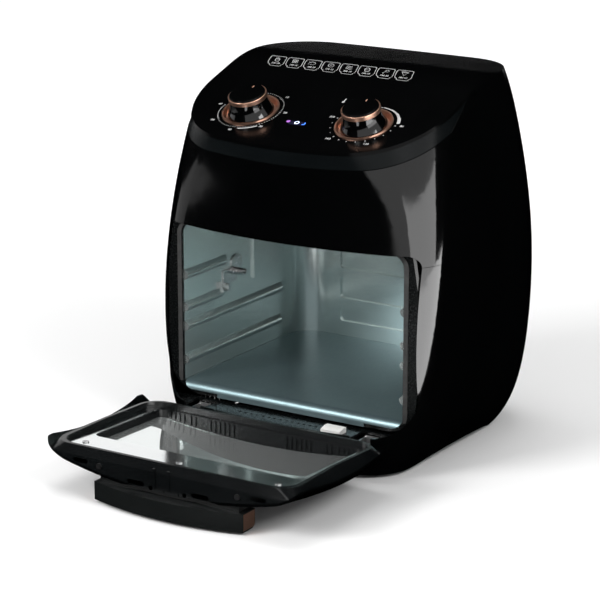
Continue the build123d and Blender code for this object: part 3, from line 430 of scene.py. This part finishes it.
def polar(x, radius, degrees):
    """The point at an angle round the middle of a dial."""
    angle = math.radians(degrees)
    return x + radius * math.cos(angle), radius * math.sin(angle)


def arc(x, y, radius, first, last, steps):
    """Points along an arc, with the angles in degrees."""
    turned = [math.radians(first + (last - first) * k / steps) for k in range(steps + 1)]
    return [(x + radius * math.cos(a), y + radius * math.sin(a)) for a in turned]


def tick(x, degrees, inner, outer, width):
    """A short line that points at the middle of a dial."""
    return stroke([polar(x, inner, degrees), polar(x, outer, degrees)], width)


def words(text, x, y, size):
    """Plain figures set flat, centred on a point."""
    bpy.ops.object.text_add(location=(x, y, 0))
    piece = bpy.context.object
    piece.data.body = text
    piece.data.size = size
    piece.data.align_x = "CENTER"
    piece.data.align_y = "CENTER"
    piece.data.extrude = ink_height
    piece.data.resolution_u = 3
    return piece


def print_on(name, pieces, thin, body, place):
    """Makes the ink one thin mesh and lays it on the surface."""
    for piece in pieces:
        deselect()
        piece.select_set(True)
        bpy.context.view_layer.objects.active = piece
        bpy.ops.object.convert(target="MESH")
        bpy.ops.object.transform_apply()
    deselect()
    for piece in pieces:
        piece.select_set(True)
    bpy.context.view_layer.objects.active = pieces[0]
    if len(pieces) > 1:
        bpy.ops.object.join()
    joined = bpy.context.object
    joined.name = name
    for v in joined.data.vertices:
        v.co.z = ink_height if v.co.z > 0 else 0.0
        v.co = place(v.co)
    joined.data.materials.clear()
    joined.data.materials.append(thin)
    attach(joined, body)


def on_level(height):
    """A way to lay ink parallel to the deck's slope, at a height above it."""
    return lambda point: on_deck @ Vector((point.x, point.y, height + point.z))


tick_inner = 0.0334
long_tick_inner = 0.0326
tick_outer = 0.0345
number_out = 0.0395
number_size = 0.0041
zero_at = 99
degrees_per_minute = 4.75
full_hour = 60
timer_print = []
for minute in range(full_hour + 1):
    inner = tick_inner if minute % 10 else long_tick_inner
    timer_print.append(tick(-dial_x, zero_at - degrees_per_minute * minute, inner, tick_outer, 0.0006))
timer_print.append(stroke(arc(-dial_x, 0, 0.0338, -186, -138, 16), 0.0005))
timer_print.append(stroke(arc(-dial_x, 0, 0.0362, -80, -48, 12), 0.0011))
for minute in range(10, full_hour + 1, 10):
    x, y = polar(-dial_x, number_out, zero_at - degrees_per_minute * minute)
    timer_print.append(words(str(minute), x, y, number_size))
clock_x = -dial_x - 0.030
clock_y = 0.033
clock_hands = [(clock_x, clock_y + 0.0016), (clock_x, clock_y), (clock_x + 0.0012, clock_y)]
timer_print.append(stroke(arc(clock_x, clock_y, 0.0022, 0, 350, 16), 0.0005))
timer_print.append(stroke(clock_hands, 0.0005))
print_on("timer_scale", timer_print, ink, "housing", on_level(0))

# Temperature scale
# The same white ink round the other knob: thirteen ticks with four plain numbers, a
# wedge that narrows towards the hot end, and a small thermometer.
first_at = 171
degrees_per_step = 16.33
heat_tick_outer = 0.0344
heat_number_out_x = 0.0405
heat_print = []
for step in range(13):
    inner = tick_inner if step % 4 else long_tick_inner
    heat_print.append(tick(dial_x, first_at + degrees_per_step * step, inner, heat_tick_outer, 0.0009))
for step, mark in ((0, "200"), (4, "160"), (8, "120"), (12, "80")):
    angle = math.radians(first_at + degrees_per_step * step)
    x = dial_x + heat_number_out_x * math.cos(angle)
    heat_print.append(words(mark, x, number_out * math.sin(angle), number_size))
wedge_inner = 0.0338
wedge_row = 0.0006
for row in range(5):
    heat_print.append(stroke(arc(dial_x, 0, wedge_inner + wedge_row * row, 14, 100 - 17 * row, 24), 0.0009))
thermometer_x = dial_x - 0.0438
bulb_y = 0.0352
stem_end_y = 0.0415
heat_print.append(stroke([(thermometer_x, bulb_y + 0.001), (thermometer_x, stem_end_y)], 0.0011))
heat_print.append(stroke(arc(thermometer_x, bulb_y, 0.0009, 0, 350, 12), 0.0014))
print_on("temperature_scale", heat_print, ink, "housing", on_level(0))

# Program tiles
# A row of eight outlined tiles on the deck's rounded top, in the same white ink. Each
# has a plain pictogram of a food with its temperature and minutes under it.
deck_high = 0.384
crown_radius = 0.15
crown_end_y = 0.0402 + body_centre_y
pitch = 0.02175
tile_first_x = -0.1084
tile_top = 0.0122 + body_centre_y
tile_low = -0.0093 + body_centre_y
tile_wide = 0.0192
tile_widening = 0.001
tile_lean = 0.007
tile_line = 0.0006
figure_size = 0.0036
figures_down = 0.76


def crown_place(point):
    """Onto the rounded top of the deck, from a plan of it."""
    reach = crown_end_y - point.y
    height = deck_high - crown_radius + math.sqrt(crown_radius ** 2 - max(reach, 0) ** 2)
    return Vector((point.x, point.y, height + point.z))


def tile_point(column, across, down):
    """A place in a tile: 0 to 1 across and 0 to 1 down."""
    x = tile_first_x + pitch * column + tile_lean * down + (tile_wide + tile_widening * down) * across
    return x, tile_top + (tile_low - tile_top) * down


tile_outline = [
    (0.12, 0.0), (0.5, 0.0), (0.9, 0.0), (0.98, 0.04), (1.0, 0.12), (0.99, 0.4), (0.98, 0.7),
    (0.93, 0.84), (0.86, 0.86), (0.84, 0.97), (0.76, 1.0), (0.5, 1.0), (0.26, 1.0), (0.18, 0.97),
    (0.15, 0.86), (0.07, 0.84), (0.02, 0.7), (0.01, 0.4), (0.02, 0.12), (0.05, 0.03),
]
chips = [
    [(0.36, 0.34), (0.4, 0.56), (0.6, 0.56), (0.64, 0.34), (0.36, 0.34)],
    [(0.42, 0.34), (0.42, 0.18)],
    [(0.5, 0.34), (0.5, 0.15)],
    [(0.58, 0.34), (0.58, 0.18)],
]
waffle = [
    [(0.35, 0.2), (0.65, 0.2), (0.65, 0.52), (0.35, 0.52), (0.35, 0.2)],
    [(0.45, 0.2), (0.45, 0.52)],
    [(0.55, 0.2), (0.55, 0.52)],
    [(0.35, 0.36), (0.65, 0.36)],
]
fish = [
    [
        (0.3, 0.3), (0.42, 0.22), (0.58, 0.25), (0.66, 0.37), (0.58, 0.5), (0.42, 0.52), (0.3, 0.44),
        (0.24, 0.52), (0.25, 0.25), (0.3, 0.3),
    ],
]
steak_turns = [eighth / 8 * math.pi for eighth in range(17)]
steak = [
    [(0.5 + 0.17 * math.cos(a), 0.36 + 0.18 * math.sin(a)) for a in steak_turns],
    [(0.42, 0.4), (0.56, 0.3)],
]
bacon = [
    [(0.32, 0.26), (0.42, 0.2), (0.56, 0.28), (0.68, 0.22)],
    [(0.32, 0.4), (0.42, 0.34), (0.56, 0.42), (0.68, 0.36)],
    [(0.32, 0.54), (0.42, 0.48), (0.56, 0.56), (0.68, 0.5)],
]
muffin = [
    [(0.34, 0.38), (0.4, 0.56), (0.6, 0.56), (0.66, 0.38), (0.34, 0.38)],
    [(0.34, 0.36), (0.4, 0.22), (0.5, 0.17), (0.6, 0.22), (0.66, 0.36)],
]
drumstick = [
    [(0.46, 0.34), (0.5, 0.2), (0.62, 0.18), (0.68, 0.3), (0.6, 0.4), (0.46, 0.34)],
    [(0.46, 0.38), (0.36, 0.52)],
    [(0.32, 0.5), (0.4, 0.56)],
]
pizza = [
    [(0.32, 0.22), (0.7, 0.26), (0.5, 0.56), (0.32, 0.22)],
    [(0.3, 0.18), (0.5, 0.14), (0.72, 0.21)],
]
tile_print = []
for column, (pictogram, figures) in enumerate((
    (chips, "200 20"), (waffle, "190 15"), (fish, "180 25"), (steak, "170 12"),
    (bacon, "200 10"), (muffin, "160 18"), (drumstick, "190 30"), (pizza, "180 12"),
)):
    tile_print.append(stroke([tile_point(column, *q) for q in tile_outline], tile_line, closed=True))
    for line in pictogram:
        tile_print.append(stroke([tile_point(column, *q) for q in line], tile_line))
    tile_print.append(words(figures, *tile_point(column, 0.5, figures_down), figure_size))
print_on("program_tiles", tile_print, ink, "housing", crown_place)

# Pointer marks on the knobs
# A short line of copper-coloured ink at the rim of each cap, printed on it, so that it
# turns with the knob.
copper_ink = start("copper_ink", (0.55, 0.3, 0.2), 0.4)
tint(copper_ink, grain(copper_ink, 400), (0.5, 0.27, 0.18), (0.6, 0.33, 0.23))
mark_inner = 0.0105
mark_outer = 0.0142


def top_of(name):
    """How far a node's highest point stands above the deck's slope."""
    return max((on_deck.inverted() @ v.co).z for v in nodes[name].data.vertices)


for knob, x in (("timer", -dial_x), ("temperature", dial_x)):
    mark = stroke([(x, mark_inner), (x, mark_outer)], 0.0009)
    print_on(knob + "_pointer", [mark], copper_ink, knob + "_knob", on_level(top_of(knob + "_knob_cap")))


# Display
# A tinted window set in the deck between the knobs, and three small signs lit from
# behind it: violet, white and blue.
def glaze(name, colour, rough, clear):
    """A see-through material with a faint cloudiness."""
    m = start(name, colour, rough)
    set_on(m, Transmission_Weight=clear)
    spread(m, grain(m, 12), rough, rough + 0.02)
    return m


dress(glaze("lens_tint", (0.02, 0.02, 0.05), 0.05, 0.5), "indicator_window")
fan_sign = [arc(-0.0142, -0.0117, 0.0016, 20, 330, 12), [(-0.0158, -0.0117), (-0.0125, -0.0117)]]
ring_sign = [arc(-0.004, -0.0122, 0.0022, 0, 350, 18)]
heat_sign = [[(0.0030, -0.0145), (0.0052, -0.0142), (0.0056, -0.0124), (0.0048, -0.0106)]]
for name, colour, glow_strength, lines in (
    ("display_fan_sign", (0.35, 0.12, 0.5), 1.2, fan_sign),
    ("display_ring_sign", (0.65, 0.75, 1.0), 2.2, ring_sign),
    ("display_heat_sign", (0.05, 0.2, 1.0), 2.4, heat_sign),
):
    lit = start(name, colour, 0.4)
    set_on(lit, Emission_Color=(*colour, 1), Emission_Strength=glow_strength)
    spread(lit, grain(lit, 500), 0.35, 0.45)
    sign = [stroke(line, 0.0009) for line in lines]
    print_on(name, sign, lit, "housing", on_level(top_of("indicator_window")))

# Door skin
# The door's bowed outer shell, moulded in the housing's gloss black, with an opening
# for the dark glass.
dress(gloss_black, "door_skin")

# Door's inner frame
# Glass-filled plastic that stands the heat, satin, with a slight texture. It closes the
# skin from behind and holds the clear glass.
door_black = start("door_frame_black", (0.0028, 0.0034, 0.0037), 0.22)
tint(door_black, grain(door_black, 25), (0.0022, 0.0028, 0.003), (0.0036, 0.0044, 0.0048))
spread(door_black, grain(door_black, 700), 0.18, 0.26)
dress(door_black, "door_inner_frame")

# Screws in the door's end
# They hold the frame in the skin. They are of blackened steel, so that they hide in the
# black of the frame.
blackened = start("blackened_steel", (0.06, 0.06, 0.062), 0.35, metal=0.9)
spread(blackened, grain(blackened, 600), 0.28, 0.42)
relief(blackened, grain(blackened, 900), 0.1)
dress(blackened, "door_edge_screws")

# Door trim plate
# Brushed stainless sheet, its lines running along the door, screwed on the frame round
# the clear glass.
brushed = start("brushed_trim", (0.88, 0.9, 0.9), 0.12, metal=1.0)
brush_lines = grain(brushed, 40, (1, 22, 22), detail=5)
spread(brushed, brush_lines, 0.08, 0.16)
relief(brushed, brush_lines, 0.02)
dress(brushed, "door_trim_plate")

# Door glass
# Two bowed sheets of toughened glass: a dark one in the skin, and a clear one in the
# inner frame, whose coating throws the heat back and shines like metal.
dress(glaze("dark_glass", (0.02, 0.02, 0.024), 0.02, 0.6), "door_outer_glass")
clear_glass = glaze("clear_glass", (0.93, 0.97, 0.96), 0.02, 0.6)
set_on(clear_glass, Metallic=0.7, IOR=1.9, Coat_Weight=1.0, Coat_Roughness=0.02)
dress(clear_glass, "door_inner_glass")

# Handle
# A bowed grip, hollow on one side, that stands off the top of the shut door. It is of
# the housing's plastic with a satin skin, so that fingers leave no prints on it.
grip_black = start("grip_black", (0.0045, 0.0055, 0.0055), 0.32)
tint(grip_black, grain(grip_black, 40), (0.0038, 0.0047, 0.0047), (0.0055, 0.0066, 0.0066))
spread(grip_black, grain(grip_black, 700), 0.28, 0.38)
dress(grip_black, "door_handle")
